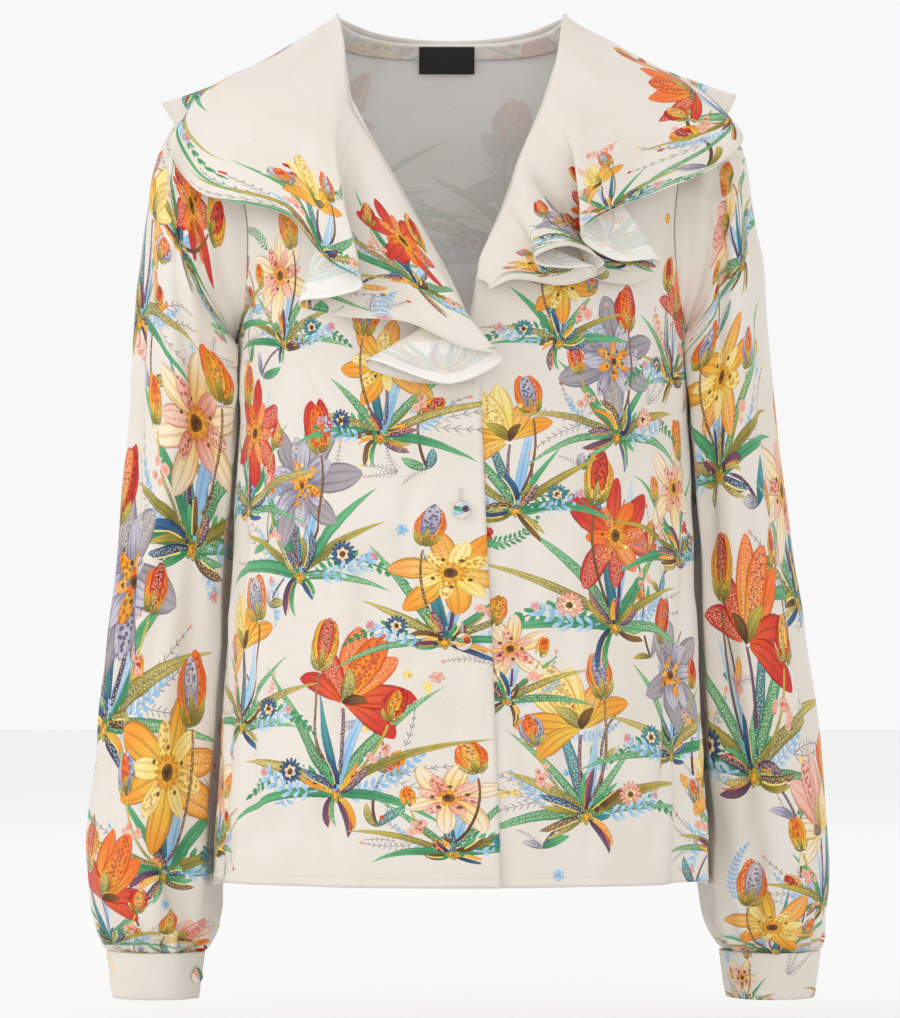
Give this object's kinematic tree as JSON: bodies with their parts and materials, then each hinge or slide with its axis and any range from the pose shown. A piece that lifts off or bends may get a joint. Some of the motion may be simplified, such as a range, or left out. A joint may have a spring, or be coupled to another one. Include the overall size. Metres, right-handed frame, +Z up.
{
  "type": "long-sleeved blouse with a cascading flounce collar",
  "caption": "Filled-out long-sleeved V-neck blouse with a folded flounce collar, button front, gathered sleeves and buttoned cuffs.",
  "frame": {"origin": "midway between the two points where the neck edge meets the shoulder seams, where a hanger or wearer carries the garment", "axes": "+Z up, -Y towards the front, +X towards the wearer's left"},
  "size_m": [0.529, 0.274, 0.6964],
  "materials": {
    "printed_cloth": "soft crepe with a printed floral on a cream ground",
    "label_weave": "plain black woven tape",
    "covered_button": "domed button covered in the same cloth"
  },
  "bodies": {
    "root": {"front_right": "printed_cloth", "front_left": "printed_cloth", "back": "printed_cloth", "sleeve_right": "printed_cloth", "sleeve_left": "printed_cloth", "cuff_right": "printed_cloth", "cuff_left": "printed_cloth", "flounce_right": "printed_cloth", "flounce_left": "printed_cloth", "neck_binding": "printed_cloth", "neck_label": "label_weave", "button_1": "covered_button", "button_2": "covered_button", "button_3": "covered_button", "cuff_button_right": "covered_button", "cuff_button_left": "covered_button"}
  },
  "joints": []
}
